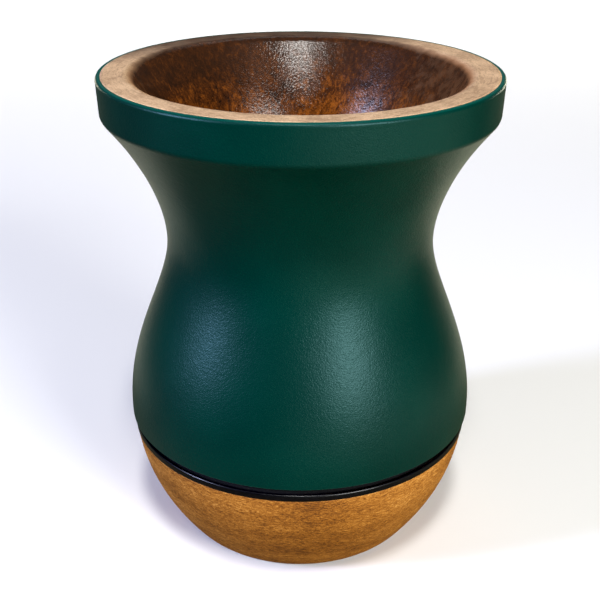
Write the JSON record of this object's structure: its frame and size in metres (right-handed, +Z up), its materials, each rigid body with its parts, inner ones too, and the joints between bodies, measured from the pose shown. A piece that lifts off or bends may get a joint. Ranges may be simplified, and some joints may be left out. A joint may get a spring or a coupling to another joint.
{
  "type": "mate gourd cup",
  "caption": "Turned wooden mate cup with a flared mouth, a narrow neck and a round belly, covered in green leather down to a black ring above its bare wooden base.",
  "frame": {"origin": "centre of the flat foot, on the surface that the cup stands on", "axes": "+Z up along the turning axis, from the foot to the mouth; the cup is the same all round, so X and Y are free"},
  "size_m": [0.084, 0.084, 0.1063],
  "materials": {
    "wood": "turned hardwood, satin; pale on the rim, honey on the base, dark mottled stain in the bowl",
    "leather": "dark green smooth leather with a fine grain, soft satin sheen",
    "black_ring": "black edge-finished leather, satin"
  },
  "bodies": {
    "root": {"gourd": "wood", "cover": "leather", "ring": "black_ring"}
  },
  "joints": []
}
